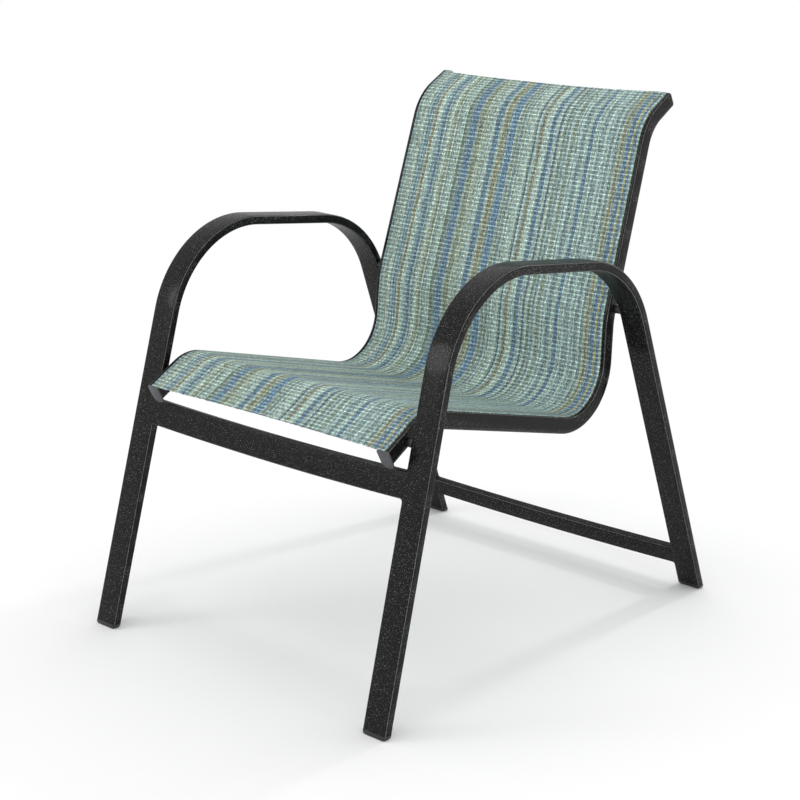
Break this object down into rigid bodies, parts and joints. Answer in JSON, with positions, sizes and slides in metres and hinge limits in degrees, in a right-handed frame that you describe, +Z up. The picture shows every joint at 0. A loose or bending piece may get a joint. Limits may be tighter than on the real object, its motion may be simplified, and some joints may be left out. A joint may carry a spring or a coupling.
{
  "type": "sling patio chair",
  "caption": "Patio armchair with bent flat-tube side frames, a front crossbar, a rear stretcher and a striped woven sling stretched between curved rails.",
  "frame": {"origin": "on the floor, at the centre of the chair's overall box", "axes": "+Z up; the chair's front faces -Y; +X points to its left side, as sat in"},
  "size_m": [0.61, 0.8341, 0.8414],
  "materials": {
    "coated_frame": "textured black powder coat with a fine silver fleck",
    "black_plastic": "matt black moulded plastic",
    "dark_plastic": "matt dark grey moulded plastic",
    "sling_cloth": "open woven coated yarn in blue, green, mint and gold lengthwise stripes",
    "spline_plastic": "pale extruded plastic rod",
    "stainless": "plain stainless steel"
  },
  "bodies": {
    "root": {"back_spreader_bar": "coated_frame", "front_crossbar": "coated_frame", "left_back_bolt": "stainless", "left_back_rivet_nut": "stainless", "left_back_spacer": "black_plastic", "left_back_spreader_plug": "black_plastic", "left_back_washer": "stainless", "left_front_bolt": "stainless", "left_front_foot_cap": "black_plastic", "left_front_rivet_nut": "stainless", "left_front_spacer": "black_plastic", "left_front_washer": "stainless", "left_rail_front_cap": "dark_plastic", "left_rail_top_cap": "black_plastic", "left_rear_foot_cap": "black_plastic", "left_seat_spreader_plug": "black_plastic", "left_side_frame": "coated_frame", "left_sling_rail": "coated_frame", "left_spline_rod": "spline_plastic", "rear_stretcher": "coated_frame", "right_back_bolt": "stainless", "right_back_rivet_nut": "stainless", "right_back_spacer": "black_plastic", "right_back_spreader_plug": "black_plastic", "right_back_washer": "stainless", "right_front_bolt": "stainless", "right_front_foot_cap": "black_plastic", "right_front_rivet_nut": "stainless", "right_front_spacer": "black_plastic", "right_front_washer": "stainless", "right_rail_front_cap": "dark_plastic", "right_rail_top_cap": "black_plastic", "right_rear_foot_cap": "black_plastic", "right_seat_spreader_plug": "black_plastic", "right_side_frame": "coated_frame", "right_sling_rail": "coated_frame", "right_spline_rod": "spline_plastic", "seat_spreader_bar": "coated_frame", "sling_fabric": "sling_cloth"}
  },
  "joints": []
}
